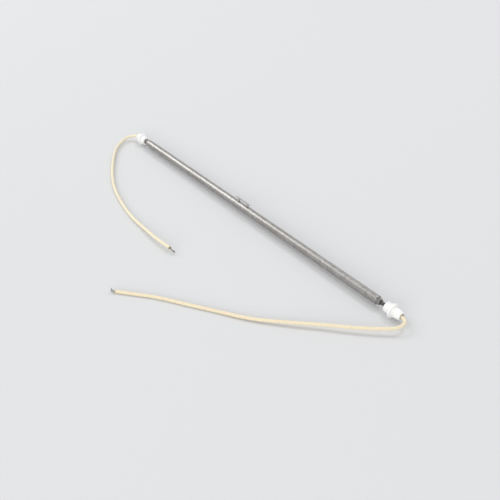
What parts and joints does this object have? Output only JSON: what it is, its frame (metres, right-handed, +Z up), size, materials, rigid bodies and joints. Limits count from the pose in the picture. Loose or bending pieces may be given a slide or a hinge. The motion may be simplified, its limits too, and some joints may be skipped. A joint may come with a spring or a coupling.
{
  "type": "tubular heating element",
  "caption": "Straight metal-sheathed heating rod for a strip food warmer, with a ceramic insulator and a braided lead at each end and a small support bridge in the middle.",
  "frame": {"origin": "on the resting surface, straight below the middle of the sheath", "axes": "+X along the element, from the left insulator to the right one; +Z up; the lead wires lie on the -Y side"},
  "size_m": [0.4247, 0.1698, 0.0153],
  "materials": {
    "sheath_steel": "satin",
    "bridge_steel": "satin",
    "resistance_wire": "satin",
    "magnesia": "matte",
    "terminal_steel": "satin",
    "seal_silicone": "matte",
    "bushing_dark": "matte",
    "crimp_nickel": "satin",
    "white_ceramic": "matte",
    "glass_braid": "matte",
    "mica_tape": "matte",
    "nickel_strand": "satin"
  },
  "bodies": {
    "element": {"sheath_tube": "sheath_steel", "support_bridge": "bridge_steel", "resistance_coil": "resistance_wire", "magnesia_core": "magnesia", "magnesia_fill": "magnesia", "left_terminal_pin": "terminal_steel", "left_end_seal": "seal_silicone", "left_end_bushing": "bushing_dark", "left_crimp_barrel": "crimp_nickel", "left_lead_braid": "glass_braid", "left_lead_mica_wrap": "mica_tape", "left_lead_conductor": "nickel_strand", "right_terminal_pin": "terminal_steel", "right_end_seal": "seal_silicone", "right_end_bushing": "bushing_dark", "right_crimp_barrel": "crimp_nickel", "right_lead_braid": "glass_braid", "right_lead_mica_wrap": "mica_tape", "right_lead_conductor": "nickel_strand"},
    "left_insulator": {"left_ceramic_insulator": "white_ceramic"},
    "right_insulator": {"right_ceramic_insulator": "white_ceramic"}
  },
  "joints": [
    {"name": "left_insulator_spin", "type": "hinge", "parent": "element", "child": "left_insulator", "pos_m": [-0.1919, 0, 0.0065], "axis": [1, 0, 0], "continuous": true},
    {"name": "right_insulator_spin", "type": "hinge", "parent": "element", "child": "right_insulator", "pos_m": [0.1949, 0, 0.0065], "axis": [1, 0, 0], "continuous": true}
  ]
}
